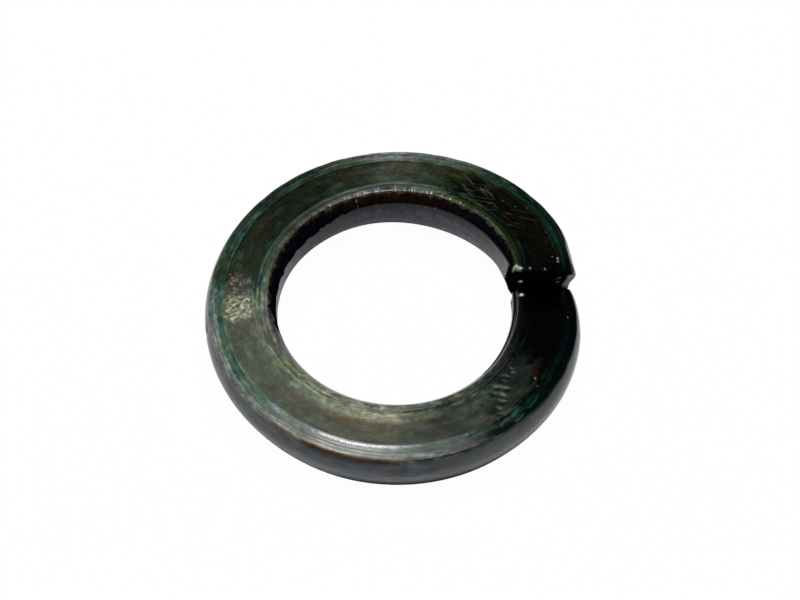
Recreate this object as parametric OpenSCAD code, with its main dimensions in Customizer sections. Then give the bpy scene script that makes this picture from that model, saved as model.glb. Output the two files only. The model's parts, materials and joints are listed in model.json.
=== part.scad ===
// Spring lock washer: one turn of flat-topped steel section, coiled left-handed
// and cut through once, so that its two ends stand at different heights.
//
// Lengths are in millimetres and angles in degrees. Z is the axis of the bore,
// with the origin half way between the lowest and the highest point of the ring.
// Seen from above, the ring starts at the raised end, just anticlockwise of +X,
// runs anticlockwise and comes down to the lower end.

/* [Ring] */
// Outside diameter, at the widest part of the outer side
outer_d = 40; // [36:0.5:60]
// Diameter of the bore
bore_d = 25; // [16:0.5:29]
// Thickness of the section, between its two bearing faces
thickness = 5.6; // [3:0.1:9]

/* [Coil] */
// Height of the raised end above the lower end
rise = 3.4; // [0.5:0.1:6]

/* [Outer side] */
// How far the outer side bulges beyond its edges
outer_bulge = 0.7; // [0.2:0.05:1]
// Width of the sloped shoulder between bearing face and outer side
outer_shoulder_w = 1.5; // [0.4:0.05:1.8]
// How far that shoulder drops below the bearing face
outer_shoulder_drop = 0.25; // [0.1:0.05:0.6]

/* [Inner side] */
// How far the inner side stands back from the bore at its edges
inner_relief = 0.8; // [0.2:0.05:1]
// Width of the sloped shoulder between bearing face and inner side
inner_shoulder_w = 1.05; // [0.3:0.05:1.4]
// How far that shoulder drops below the bearing face
inner_shoulder_drop = 0.15; // [0.05:0.05:0.5]
// Height of the round land that forms the bore
bore_land_h = 2.4; // [1:0.1:2.6]

/* [Cut] */
// Width of the gap between the two ends
gap_w = 0.3; // [0.2:0.05:3]
// Distance of the gap's middle from the X axis, at half height
gap_y = 2; // [-3:0.1:3]
// Slant of the cut from upright, which makes the raised end's top edge sharp
gap_slant = 10.5; // [0:0.5:20]
// How far the raised end is drawn in towards the bore
raised_set = 0.5; // [0:0.05:0.8]
// Length along the ring over which the raised end is drawn in
raised_set_len = 7; // [2:0.5:15]
// How far the raised end's lower outer corner is rolled in by the shear
raised_roll = 1.6; // [0:0.1:2]
// How far the lower end's bore side stands back, outside the bore
lower_flare = 0.6; // [0:0.05:1]
// Length along the ring over which the lower end's bore side stands back
lower_flare_len = 12; // [2:0.5:20]
// How far the lower end's upper outer corner is rolled in by the shear
lower_roll = 0.5; // [0:0.1:2]
// Length along the ring over which a corner is rolled in
roll_len = 3; // [1:0.1:8]

/* [Hidden] */

// Smoothness of the coil, its sides and the bore
COIL_STEPS = 108;
OUTER_SIDE_STEPS = 8;
INNER_SIDE_STEPS = 6;
// How strongly the steps of the coil gather towards the two ends, from 0 to 1
GATHER = 0.75;
// How high on the section each side bulges most, as a share of the thickness
BULGE_AT = 0.55;
// Free length of the bore's cutting cylinder above and below the ring
OVERCUT = 1;
$fn = 180;

outer_r = outer_d / 2;
bore_r = bore_d / 2;
half_t = thickness / 2;
bulge_z = thickness * (BULGE_AT - 0.5);

// Radii of the four edges of a bearing face, from the outer side inwards
outer_edge_r = outer_r - outer_bulge;
outer_flat_r = outer_edge_r - outer_shoulder_w;
inner_edge_r = bore_r + inner_relief;
inner_flat_r = inner_edge_r + inner_shoulder_w;

// The inner side is a parabola that crosses the bore's wall at both edges of the land
land_share = bore_land_h / (thickness - 2 * inner_shoulder_drop);
inner_depth = inner_relief / (1 - land_share * land_share);
inner_peak_r = inner_edge_r - inner_depth;

// A side's point at u, which runs from 1 at its top edge through 0 where the side
// bulges most to -1 at its bottom edge: the radius falls back with the square of u
function side_point(u, peak_r, edge_r, edge_z) =
    [peak_r + (edge_r - peak_r) * u * u,
     bulge_z + u * (edge_z - sign(u) * bulge_z)];

outer_side = [for (i = [0 : OUTER_SIDE_STEPS])
    side_point(1 - 2 * i / OUTER_SIDE_STEPS, outer_r, outer_edge_r, half_t - outer_shoulder_drop)];
inner_side = [for (i = [0 : INNER_SIDE_STEPS])
    side_point(2 * i / INNER_SIDE_STEPS - 1, inner_peak_r, inner_edge_r, half_t - inner_shoulder_drop)];

// The section as [radius, height] points, clockwise with the bore on the left
section = concat(
    [[inner_flat_r, half_t], [outer_flat_r, half_t]],
    outer_side,
    [[outer_flat_r, -half_t], [inner_flat_r, -half_t]],
    inner_side
);
SECTION_POINTS = len(section);

// Angle at which the slanted plane of one end's face meets a section point.
// side is 1 for the raised end and -1 for the lower end
function end_angle(p, side) =
    asin((gap_y + side * gap_w / 2 - (p[1] + side * rise / 2) * tan(gap_slant)) / p[0]);

// Share of the turn after a share u of the steps, gathered towards both ends
function turn_share(u) = u - GATHER * sin(360 * u) / (2 * PI);

// A parabola that falls from 1 at an end of the ring to 0 at reach from that end,
// where share is the part of the turn between that end and the place
function fade(share, reach) =
    let (left = max(0, 1 - share * PI * (outer_r + bore_r) / reach))
    left * left;

// Place of a section point across the ring, from 0 at the bore to 1 at the outside
function outwardness(p) = (p[0] - bore_r) / (outer_r - bore_r);

// How far a section point is rolled in at the raised end (side 1) or the lower end
// (side -1): fully at the outer corner that faces the other end, and not at all
// at the bore or at the bearing face that bites
function roll_in(p, side, roll) = roll * (0.5 - side * p[1] / thickness) * outwardness(p);

// How far a section point lies inside the true ring after a share t of the turn
function draw_in(p, t) =
    raised_set * fade(t, raised_set_len)
    + roll_in(p, 1, raised_roll) * fade(t, roll_len)
    + roll_in(p, -1, lower_roll) * fade(1 - t, roll_len)
    - lower_flare * (1 - outwardness(p)) * fade(1 - t, lower_flare_len);

// Place of a section point after a share t of the turn: the angle runs from the
// raised end's face to the lower end's face while the height falls by the rise
function coil_point(p, t) =
    let (a = end_angle(p, 1) + t * (360 + end_angle(p, -1) - end_angle(p, 1)),
         r = p[0] - draw_in(p, t))
    [r * cos(a), r * sin(a), p[1] + rise * (0.5 - t)];

coil_points = [for (i = [0 : COIL_STEPS], p = section) coil_point(p, turn_share(i / COIL_STEPS))];

// Index of a point by its step along the coil and its place round the section
function at(i, j) = i * SECTION_POINTS + j % SECTION_POINTS;

skin_faces = [for (i = [0 : COIL_STEPS - 1], j = [0 : SECTION_POINTS - 1], half = [0, 1])
    half == 0 ? [at(i, j), at(i + 1, j + 1), at(i, j + 1)]
              : [at(i, j), at(i + 1, j), at(i + 1, j + 1)]];
raised_face = [for (j = [1 : SECTION_POINTS - 2]) [at(0, 0), at(0, j), at(0, j + 1)]];
lower_face = [for (j = [1 : SECTION_POINTS - 2])
    [at(COIL_STEPS, 0), at(COIL_STEPS, j + 1), at(COIL_STEPS, j)]];

// The coiled and cut section, before the bore is trued
module coil() {
    polyhedron(points = coil_points, faces = concat(skin_faces, raised_face, lower_face));
}

// The round wall of the bore, as a cutting tool
module bore_cutter() {
    cut_h = thickness + rise + 2 * OVERCUT;
    translate([0, 0, -cut_h / 2])
        cylinder(r = bore_r, h = cut_h);
}

module washer() {
    color([0.2, 0.23, 0.2])
        difference() {
            coil();
            bore_cutter();
        }
}

washer();
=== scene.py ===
"""Spring lock washer of blackened, oiled steel, on a white sweep under two soft overhead lamps.

The washer is one surface: the outline of the steel section, carried once round a left-handed
coil that falls from the raised end to the lower end, and closed by the two sheared faces.
It repeats the solid's own formulas, then adds rolled lines, dents, pits and softened edges.
Lengths are in millimetres until a mesh is made, and angles are in degrees, measured
anticlockwise from +X as seen from above.
"""

import json
import math
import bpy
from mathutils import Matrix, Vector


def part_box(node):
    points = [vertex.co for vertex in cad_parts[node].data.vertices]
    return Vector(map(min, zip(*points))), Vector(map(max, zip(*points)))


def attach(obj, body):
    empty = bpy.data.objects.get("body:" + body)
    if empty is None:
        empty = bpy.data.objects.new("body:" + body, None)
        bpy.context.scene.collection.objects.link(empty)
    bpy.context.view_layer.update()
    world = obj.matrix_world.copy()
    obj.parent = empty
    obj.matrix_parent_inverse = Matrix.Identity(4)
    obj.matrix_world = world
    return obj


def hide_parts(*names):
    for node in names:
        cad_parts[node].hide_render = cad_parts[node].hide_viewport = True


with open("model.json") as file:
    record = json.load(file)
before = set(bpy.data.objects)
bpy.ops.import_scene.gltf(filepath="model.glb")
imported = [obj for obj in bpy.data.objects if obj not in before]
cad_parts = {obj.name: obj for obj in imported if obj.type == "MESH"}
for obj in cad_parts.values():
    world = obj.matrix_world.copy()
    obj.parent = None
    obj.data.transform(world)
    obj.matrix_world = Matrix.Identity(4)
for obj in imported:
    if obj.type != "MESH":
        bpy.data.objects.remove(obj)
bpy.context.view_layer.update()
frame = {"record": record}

from types import SimpleNamespace

import bmesh
import bpy
import numpy as np
from mathutils import Matrix, Vector

MM = 0.001

# ---------------------------------------------------------------- sizes from the frame

LOW, HIGH = (np.array(corner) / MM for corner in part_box("washer"))
MOUNTS = {mount["name"]: mount for mount in frame["record"]["mounts"]}

OUTER_R = -LOW[0]
BORE_R = MOUNTS["bore"]["dims"]["r_mm"]
THICKNESS = 5.6
RISE = HIGH[2] - LOW[2] - THICKNESS
HALF_T = THICKNESS / 2

# Outer side: bulge beyond its edges, and the sloped shoulder between it and a bearing face
OUTER_BULGE = 0.7
OUTER_SHOULDER_W = 1.5
OUTER_SHOULDER_DROP = 0.25

# Inner side: relief of its edges behind the bore, its shoulder, and the land that is the bore
INNER_RELIEF = 0.8
INNER_SHOULDER_W = 1.05
INNER_SHOULDER_DROP = 0.15
BORE_LAND_H = 2.4

# Height of the fullest part of both sides above the section's middle
BULGE_Z = 0.05 * THICKNESS

# Cut: the gap's width, its distance from the X axis, its slant, and how the shear set the ends
GAP_W = 0.3
GAP_Y = 2.0
GAP_SLANT = 10.5
RAISED_SET = 0.5
RAISED_SET_LEN = 7.0
RAISED_ROLL = 1.6
LOWER_FLARE = 0.6
LOWER_FLARE_LEN = 12.0
LOWER_ROLL = 0.5
ROLL_LEN = 3.0

OUTER_EDGE_R = OUTER_R - OUTER_BULGE
OUTER_FLAT_R = OUTER_EDGE_R - OUTER_SHOULDER_W
INNER_EDGE_R = BORE_R + INNER_RELIEF
INNER_FLAT_R = INNER_EDGE_R + INNER_SHOULDER_W
OUTER_EDGE_Z = HALF_T - OUTER_SHOULDER_DROP
INNER_EDGE_Z = HALF_T - INNER_SHOULDER_DROP
LAND_SHARE = BORE_LAND_H / (2 * INNER_EDGE_Z)
INNER_PEAK_R = INNER_EDGE_R - INNER_RELIEF / (1 - LAND_SHARE ** 2)

# Length of the ring along the middle of its section
RING_LENGTH = math.pi * (OUTER_R + BORE_R)

# Steps of the washer's surface along the coil and round the section, how strongly the first
# are gathered towards the ends, and the rings of a sheared face as shares of its outline
TURN_STEPS = 620
OUTLINE_STEPS = 146
END_GATHERING = 0.55
FACE_RINGS = np.concatenate([[0.985], np.linspace(0.92, 0, 13)])

# Points on one side's curve, and on the fine outline from which the section's steps are picked
SIDE_POINTS = 41
FINE_POINTS = 4096

# Radius of the softened edges of the section, and of the sheared faces' rims
EDGE_SOFTNESS = 0.09
RIM_R = 0.06


# ---------------------------------------------------------------- the section's outline

def side_curve(peak_r, edge_r, edge_z):
    """A bulging side, from its top edge to its bottom edge: the radius falls back from the
    peak with the square of u, which runs from 1 at the top edge to -1 at the bottom edge."""
    u = np.linspace(1, -1, SIDE_POINTS)
    radius = peak_r + (edge_r - peak_r) * u ** 2
    height = BULGE_Z + u * (edge_z - np.sign(u) * BULGE_Z)
    return np.stack([radius, height], 1)


def section_parts():
    """The section's closed outline as rows of (radius, height), part by part: it starts at the
    lower bearing face's inner edge, climbs the inner side, runs outwards over the upper bearing
    face and comes down the outer side."""
    inner = side_curve(INNER_PEAK_R, INNER_EDGE_R, INNER_EDGE_Z)[::-1]
    inner[:, 0] = np.maximum(inner[:, 0], BORE_R)
    return [
        [[INNER_FLAT_R, -HALF_T]],
        inner,
        [[INNER_FLAT_R, HALF_T]],
        [[OUTER_FLAT_R, HALF_T]],
        side_curve(OUTER_R, OUTER_EDGE_R, OUTER_EDGE_Z),
        [[OUTER_FLAT_R, -HALF_T]],
    ]


def length_along(points):
    """Distance along a closed line of points, from 0 at the first to its whole length."""
    steps = np.linalg.norm(np.diff(points, axis=0, append=points[:1]), axis=1)
    return np.concatenate([[0], np.cumsum(steps)])


def smooth_loop(values, sigma, spacing):
    """A closed row of values, each replaced by its neighbours' mean, weighted by a bell curve
    of width sigma: every harmonic of the loop fades by the bell's own transform."""
    waves = np.fft.rfftfreq(len(values), spacing)
    weights = np.exp(-2 * (math.pi * waves * sigma) ** 2)[:, None]
    return np.fft.irfft(np.fft.rfft(values, axis=0) * weights, len(values), axis=0)


def section_outline():
    """The outline at OUTLINE_STEPS points, their shares of its length, and the shares at which
    each span of the section starts and ends. The outline is laid out finely by length, its
    corners are softened, and points are picked closer together where it turns: their density
    is 1 plus 0.9 times the turning in radians per mm, which is capped at 3 and smoothed."""
    parts = section_parts()
    points = np.concatenate(parts)
    along = length_along(points)
    ends = np.cumsum([len(part) for part in parts])
    starts = along[ends - [len(part) for part in parts]] / along[-1]
    stops = along[ends - 1] / along[-1]
    spans = {
        "lower_inner_shoulder": (0.0, starts[1]),
        "inner_side": (starts[1], stops[1]),
        "inner_shoulder": (stops[1], starts[2]),
        "upper_face": (starts[2], starts[3]),
        "outer_shoulder": (starts[3], starts[4]),
        "outer_side": (starts[4], stops[4]),
        "lower_outer_shoulder": (stops[4], starts[5]),
        "lower_face": (starts[5], 1.0),
    }

    spacing = along[-1] / FINE_POINTS
    fine = np.arange(FINE_POINTS) * spacing
    closed = np.concatenate([points, points[:1]])
    smooth = np.stack([np.interp(fine, along, closed[:, i]) for i in (0, 1)], 1)
    smooth = smooth_loop(smooth, EDGE_SOFTNESS, spacing)

    heading = np.unwrap(np.angle(np.diff(smooth @ [1, 1j], append=smooth[0] @ [1, 1j])))
    turning = np.abs(np.diff(heading, append=heading[0] - 2 * math.pi)) / spacing
    density = 1 + 0.9 * smooth_loop(np.minimum(turning, 3)[:, None], 0.12, spacing)[:, 0]
    gathered = np.concatenate([[0], np.cumsum(density)])
    wanted = np.arange(OUTLINE_STEPS) / OUTLINE_STEPS * gathered[-1]
    fine = np.arange(FINE_POINTS + 1) * spacing
    picked = np.interp(wanted, gathered, fine)
    closed = np.concatenate([smooth, smooth[:1]])
    outline = np.stack([np.interp(picked, fine, closed[:, i]) for i in (0, 1)], 1)
    return outline, picked / along[-1], spans


# ---------------------------------------------------------------- the coil

def fade(share, reach):
    """1 at an end of the ring, falling as a parabola to 0 at reach from it along the ring."""
    left = 1 - share * RING_LENGTH / reach
    return np.maximum(left, 0) ** 2


def end_angle(r, z, side):
    """Angle in degrees at which an end's slanted face meets a section point. side is 1 for
    the raised end and -1 for the lower end: the face is a plane that leans by GAP_SLANT."""
    lean = (z + side * RISE / 2) * math.tan(math.radians(GAP_SLANT))
    return np.degrees(np.arcsin((GAP_Y + side * GAP_W / 2 - lean) / r))


def outwardness(r):
    """Place across the ring, from 0 at the bore to 1 at the outside."""
    return (r - BORE_R) / (OUTER_R - BORE_R)


def draw_in(r, z, t):
    """How far the shear set a section point in towards the axis after a share t of the turn:
    the raised end is drawn in, the two ends' facing outer corners are rolled in, and the
    lower end's bore side flares out."""
    upper = (0.5 + z / THICKNESS) * outwardness(r)
    lower = (0.5 - z / THICKNESS) * outwardness(r)
    return (
        RAISED_SET * fade(t, RAISED_SET_LEN)
        + RAISED_ROLL * lower * fade(t, ROLL_LEN)
        + LOWER_ROLL * upper * fade(1 - t, ROLL_LEN)
        - LOWER_FLARE * (1 - outwardness(r)) * fade(1 - t, LOWER_FLARE_LEN)
    )


def coil_point(r, z, t):
    """Place of section point (r, z) after a share t of the turn. The angle runs from the
    raised end's face to the lower end's face while the height falls by RISE."""
    raised, lower = end_angle(r, z, 1), end_angle(r, z, -1)
    angle = np.radians(raised + t * (360 + lower - raised))
    # The bore is trued after coiling, so nothing reaches inside it
    radius = np.maximum(r - draw_in(r, z, t), BORE_R)
    return np.stack(
        [radius * np.cos(angle), radius * np.sin(angle), z + RISE * (0.5 - t)], -1
    )


# ---------------------------------------------------------------- wear of the section

def bell(distance, width):
    """The bell curve of a distance: 1 at none, and 1/e at its width."""
    return np.exp(-(distance / width) ** 2)


def hill(r, angle, centre_r, centre_angle, long, wide, turn=0.0):
    """A smooth hill of height 1: the bell curve of the distance from its centre in mm,
    long by wide, with its long axis turned from the ring's run towards the outside."""
    run = np.radians(angle - centre_angle) * centre_r
    out = r - centre_r
    cosine, sine = math.cos(math.radians(turn)), math.sin(math.radians(turn))
    return bell(run * cosine + out * sine, long) * bell(out * cosine - run * sine, wide)


def step_up(x, low, high):
    """0 below low and 1 above high, with a smooth S between them."""
    u = np.clip((x - low) / (high - low), 0, 1)
    return u * u * (3 - 2 * u)


def arch(angle, centre, half_width):
    """1 at an angle, falling to 0 at half_width on either side of it: half a cosine wave."""
    apart = np.abs((angle - centre + 180) % 360 - 180)
    return 0.5 + 0.5 * np.cos(math.pi * np.minimum(apart / half_width, 1))


def ragged(angle):
    """An uneven row of beads and gaps along the ring, from -1 to 1: the product of two sine
    waves, the first of them bent by a slower one."""
    turns = np.radians(angle)
    return np.sin(131 * turns + 2 * np.sin(17 * turns)) * np.sin(71 * turns + 1)


def ring_line(r, angle, centre_r, wide, centre_angle, reach):
    """A line along the ring: a bell curve across it that fades over an arch of the turn."""
    return bell(r - centre_r, wide) * arch(angle, centre_angle, reach)


# Dents of a chisel across the upper face: radius, angle, length, width and depth
DENT_TURN = 45.0
DENTS = (
    (14.77, 322.8, 0.22, 0.11, 0.07),
    (15.07, 321.4, 0.28, 0.14, 0.09),
    (14.90, 318.7, 0.50, 0.11, 0.12),
    (15.08, 316.5, 0.34, 0.12, 0.09),
    (14.91, 312.0, 0.48, 0.12, 0.08),
    (15.70, 314.2, 0.55, 0.12, 0.12),
    (15.49, 309.9, 0.36, 0.11, 0.08),
    (15.95, 311.6, 0.28, 0.12, 0.09),
    (16.28, 311.4, 0.32, 0.10, 0.08),
    (16.59, 309.8, 0.46, 0.11, 0.11),
    (15.76, 303.9, 0.28, 0.09, 0.05),
    (17.05, 306.9, 0.36, 0.15, 0.10),
    (17.38, 305.8, 0.48, 0.10, 0.10),
)

# Rust pits: radius, angle, size and depth
PITS = (
    (16.45, 145.2, 0.20, 0.10),
    (16.61, 120.5, 0.18, 0.08),
    (14.10, 201.5, 0.16, 0.09),
    (16.45, 232.6, 0.14, 0.06),
    (13.60, 212.0, 0.12, 0.06),
    (17.60, 168.0, 0.12, 0.05),
)

# Bright specks where the oxide is knocked off: radius, angle, size and brightness. Where the
# brightness passes 1, as by the cut at 8.6 and 363 degrees, a speck is a painted glint that
# shines white
SPECKS = (
    (17.99, 244.3, 0.15, 1.1),
    (13.51, 228.5, 0.12, 1.0),
    (14.80, 260.9, 0.16, 1.0),
    (14.83, 255.8, 0.14, 1.0),
    (14.78, 269.5, 0.12, 1.0),
    (16.62, 143.6, 0.11, 0.9),
    (13.50, 40.8, 0.13, 1.0),
    (17.21, 343.8, 0.11, 0.8),
    (18.26, 352.8, 0.12, 1.0),
    (17.91, 322.7, 0.09, 0.9),
    (13.50, 363.0, 0.20, 2.6),
    (13.46, 8.6, 0.14, 2.0),
    (13.75, 8.4, 0.14, 0.8),
    (14.75, 6.6, 0.16, 1.1),
    (16.30, 5.6, 0.14, 0.8),
    (17.25, 10.8, 0.12, 0.8),
    (17.80, 9.8, 0.18, 1.1),
    (17.75, 8.4, 0.17, 1.0),
    (17.62, 15.5, 0.12, 0.6),
    (17.75, 19.7, 0.11, 0.75),
    (17.63, 22.0, 0.12, 0.6),
    (17.60, 28.8, 0.12, 0.6),
    (17.77, 31.8, 0.10, 0.6),
    (17.81, 34.8, 0.10, 0.6),
)

# Fine scratches: radius, angle, half length, half width and turn from the ring's run
SCRATCHES = (
    (16.00, 53.9, 0.65, 0.09, -27),
    (16.57, 43.8, 0.68, 0.10, 18),
    (15.85, 47.2, 0.45, 0.09, -10),
    (15.07, 43.0, 0.38, 0.10, 39),
    (16.35, 48.5, 0.35, 0.09, 62),
    (16.90, 38.0, 0.42, 0.09, 30),
)

# Upright streaks on the bore's wall: angle, height and half length
BORE_STREAKS = (
    (108.7, 2.1, 0.80),
    (99.1, 1.2, 0.35),
    (85.6, 0.8, 0.60),
    (73.3, 1.1, 0.65),
    (68.4, 1.4, 0.45),
    (72.5, -0.8, 0.25),
)

# Painted glints on the raised end's sheared face, where it would catch the light: radius, height
# and brightness
PAINTED_GLINTS = ((14.20, 0.42, 2.2), (18.35, 1.10, 0.6), (18.55, 0.35, 0.5))

# Rust stains: radius, angle, length, width and strength
RUST_STAINS = (
    (16.40, 145.4, 0.30, 0.24, 0.9),
    (16.61, 120.5, 0.26, 0.20, 0.6),
    (18.81, 136.1, 0.35, 0.14, 0.6),
    (13.58, 260.6, 0.95, 0.16, 1.0),
    (16.70, 328.5, 1.50, 0.70, 0.55),
    (16.95, 326.4, 0.40, 0.28, 0.6),
    (17.09, 317.7, 0.80, 0.40, 0.45),
    (16.02, 236.8, 1.40, 0.32, 0.70),
    (15.79, 241.9, 1.10, 0.28, 0.70),
    (15.75, 231.5, 1.10, 0.45, 0.65),
    (14.10, 201.5, 0.26, 0.20, 1.0),
    (14.30, 205.5, 1.00, 0.26, 0.7),
    (16.50, 178.3, 0.95, 1.05, 1.0),
    (17.20, 173.0, 0.70, 0.45, 0.8),
)

# Corroded patch of the upper face: middle radius and angle, half its size each way, its pits
PATCH_R = 16.25
PATCH_ANGLE = 188.0
PATCH_HALF_R = 1.60
PATCH_HALF_ANGLE = 5.8
PATCH_PITS = 60

# Width of a pit or speck against its length
SPOT_WIDTH = 0.8

# Rolled grooves of the upper side, and the ragged edge of its inner shoulder, as radii
BEADED_GROOVE_R = 14.10
FACE_GROOVE_R = OUTER_FLAT_R + 0.15
EDGE_GROOVE_R = 18.55
RAGGED_EDGE_R = 13.40

# Painted shade along the front's lower edge, drawn as a black band where the edge faces the
# shadowed floor under the washer: its middle angle, its reach on either side of that, the height
# of its foot on the section and the height of the band
BAND_ANGLE = 284
BAND_HALF_TURN = 62
BAND_FOOT_Z = -2.65
BAND_H = 1.15


def patch_pits():
    """The corroded patch's pits as (radius, angle, size, depth), strewn by a seeded draw
    that reaches further clockwise of the patch than past it."""
    draw = np.random.default_rng(11)
    r = PATCH_R + PATCH_HALF_R * draw.uniform(-1, 1, PATCH_PITS)
    angle = PATCH_ANGLE + PATCH_HALF_ANGLE * draw.uniform(-2.1, 1.0, PATCH_PITS)
    size = draw.uniform(0.10, 0.19, PATCH_PITS)
    depth = draw.uniform(0.04, 0.10, PATCH_PITS)
    return np.stack([r, angle, size, depth], 1)


def face_wear(r, z, angle, t):
    """Depth in mm by which the upper side lies below its true form. It is the sum of the dents,
    the pits, three rolled grooves, the notches of the inner shoulder's edge, a waviness that
    never rises, the raised end's rounded outer corner and chips of both ends' inner corners."""
    depth = np.zeros(np.broadcast(r, z, angle).shape)
    for centre_r, centre, long, wide, deep in DENTS:
        depth += deep * hill(r, angle, centre_r, centre, long, wide, DENT_TURN)
    for centre_r, centre, size, deep in [*PITS, *patch_pits()]:
        depth += deep * hill(r, angle, centre_r, centre, size, size * SPOT_WIDTH)

    turns = np.radians(angle)
    uneven = 0.5 + 0.25 * np.sin(7 * turns + 0.6) + 0.25 * np.sin(17 * turns + r)
    beads = np.sin(61 * turns + 3 * np.sin(7 * turns)) * np.sin(97 * turns + 1)
    beaded = (0.5 + 0.5 * uneven) * (0.7 + 0.35 * beads) * (1 - 0.5 * arch(angle, 90, 45))
    depth += 0.060 * bell(r - BEADED_GROOVE_R, 0.10) * beaded
    depth += 0.050 * bell(r - FACE_GROOVE_R, 0.10) * (0.4 + 0.6 * uneven)
    depth += 0.030 * bell(r - EDGE_GROOVE_R, 0.08) * uneven
    notches = np.maximum(ragged(angle), 0)
    depth += 0.090 * notches * ring_line(r, angle, RAGGED_EDGE_R, 0.22, 95, 85)
    depth += 0.014 * (1 + np.sin(9 * turns + 2.1 * r)) * (1 + np.sin(23 * turns - 1.7 * r)) / 2

    depth += 0.30 * fade(t, 6.0) * step_up(r, 17.9, 19.2)
    depth += 0.30 * fade(t, 1.1) * bell(r - 13.75, 0.45)
    depth += 0.22 * fade(1 - t, 0.9) * bell(r - 13.60, 0.30)
    return depth * step_up(z, HALF_T - 0.8, HALF_T - 0.3)


def side_wear(r, z, angle, t):
    """Distance in mm by which the sides lie outside their true form, negative where they lie
    inside it: the sum of fuller and flatter edges, each over an arch of the turn or fading
    from an end, and of a burr, scuffs and a nick."""
    run = t * RING_LENGTH
    lower_end = 1 - step_up(RING_LENGTH - run, 1.5, 5)
    outer_side = step_up(r, 18.3, 19.2)
    outer_rim = step_up(r, 17.5, 19.2)
    bore_side = 1 - step_up(r, 13.2, 14.3)
    upper_edge = step_up(z, 0.6, 2.2) * outer_side
    lower_edge = np.clip((-z - 1.5) / 1.1, 0, 1) ** 2 * outer_side
    lower_half = step_up(-z, -0.5, 2.2)

    # Outer side: upper edge at the far right and the back, then the edges in front
    wear = 0.22 * upper_edge * arch(angle, 40, 66)
    wear += 0.12 * upper_edge * arch(angle, 108, 55)
    wear += 0.13 * step_up(r, 17.8, 19.2) * arch(angle, 334, 34) * (1 - lower_end)
    wear += lower_edge * (0.10 * arch(angle, 300, 48) - 0.15 * arch(angle, 222, 36) - 0.04)
    wear -= 0.20 * lower_half * outer_side * arch(angle, 220, 42)

    # Bore's side: its upper edge by the lower end, then its lower edge
    wear -= 0.42 * step_up(z, 0.4, 2.2) * bore_side * fade(1 - t, 22.0)
    wear += 0.45 * step_up(-z, -1.2, 1.8) * bore_side * fade(t, 4.0)
    wear -= 0.38 * step_up(-z, 0.8, 2.4) * bore_side * arch(angle, 64, 52)

    # Outside by the cut: the lower end's rim, and the raised end's lower corner, waist and burr
    wear -= 0.14 * outer_rim * lower_end
    wear += 1.05 * lower_half * outer_rim * fade(t, 3.0)
    wear -= 0.30 * upper_edge * bell(run - 2.3, 1.6)
    burr = step_up(z, -0.8, 1.6) * (1 - step_up(z, 2.2, 2.5)) * step_up(r, 18.8, 19.4)
    wear += 0.25 * burr * fade(t, 1.8)

    # Scuffs along the outer ridge, and a nick on the left
    turns = np.radians(angle)
    scuffs = np.sin(11 * turns + 0.4) + np.sin(29 * turns) + np.sin(47 * turns + 2)
    ridge = bell(r - OUTER_EDGE_R, 0.22) * step_up(z, 1.6, 2.3)
    wear -= 0.02 * ridge * np.maximum(scuffs, 0)
    wear -= 0.28 * hill(r, angle, OUTER_R, 191.7, 0.22, 0.6) * step_up(z, -0.2, 0.8)
    return wear


def bare_steel_and_glints(r, z, angle):
    """Bare steel of the skin, and painted glints, from 0 to 2 where it is brightest: the sum of
    specks, scratches, dents, the inner shoulder's two beaded ridges, the back's outer shoulder,
    and upright streaks of the bore. The specks brighter than 1 are painted glints, and the light
    lines along the ridges and the back's outer shoulder are partly painted highlight."""
    bare_and_glints = np.zeros(np.broadcast(r, z, angle).shape)
    for centre_r, centre, size, brightness in SPECKS:
        bare_and_glints += brightness * hill(r, angle, centre_r, centre, size, size * SPOT_WIDTH)
    for centre_r, centre, long, wide, turn in SCRATCHES:
        bare_and_glints += 0.55 * hill(r, angle, centre_r, centre, long, wide, turn)
    for centre_r, centre, long, wide, _ in DENTS:
        bare_and_glints += 0.37 * hill(r, angle, centre_r, centre, 1.25 * long, 1.25 * wide, DENT_TURN)
    # Light lines along the inner shoulder's beaded ridges and the back's outer shoulder: partly
    # painted highlight where those edges catch the light at the back
    beads = ragged(angle)
    bare_and_glints += (0.12 + 0.5 * beads) * ring_line(r, angle, 13.36, 0.15, 87, 34)
    bare_and_glints += (0.15 + 0.5 * beads) * ring_line(r, angle, 13.85, 0.40, 92, 24)
    bare_and_glints += 0.42 * ring_line(r, angle, 18.35, 0.45, 92, 20)
    bare_and_glints = np.maximum(bare_and_glints, 0) * upper_side(z)
    for centre, height, half in BORE_STREAKS:
        across = np.radians(angle - centre) * BORE_R
        bare_and_glints += 0.65 * bell(across, 0.08) * bell(z - height, half) * (r < INNER_EDGE_R)
    return np.minimum(bare_and_glints, 2)


def corrosion(r, z, angle):
    """Rust and pale crust of the upper side, from 0 to 1. The rust is the sum of its stains.
    The crust is the patch, an oval squared off by the cubes of its two distances, with a tail
    past it and two spots, by the cut and by the dents. The spot by the cut is partly a painted
    highlight: a bright yellow-white facet drawn as crust."""
    rust = np.zeros(np.broadcast(r, z, angle).shape)
    for centre_r, centre, long, wide, strength in RUST_STAINS:
        rust += strength * hill(r, angle, centre_r, centre, long, wide)
    across = np.abs(r - PATCH_R) / PATCH_HALF_R
    run = np.abs((angle - PATCH_ANGLE + 180) % 360 - 180) / PATCH_HALF_ANGLE
    crust = 0.82 * (1 - step_up((across ** 3 + run ** 3) ** (1 / 3), 0.4, 1.5))
    crust += 0.40 * hill(r, angle, 16.70, 176.0, 1.5, 1.0)
    # Partly a painted highlight: a bright yellow-white facet by the cut, drawn as crust
    crust += 1.5 * hill(r, angle, 13.28, 7.8, 0.45, 0.30)
    crust += 0.8 * hill(r, angle, 17.30, 324.8, 0.14, 0.14)
    return [np.minimum(mark * upper_side(z), 1) for mark in (rust, crust)]


def upper_side(z):
    """1 on the upper face and shoulders, falling to 0 below them."""
    return step_up(z, HALF_T - 0.9, HALF_T - 0.4)


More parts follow.
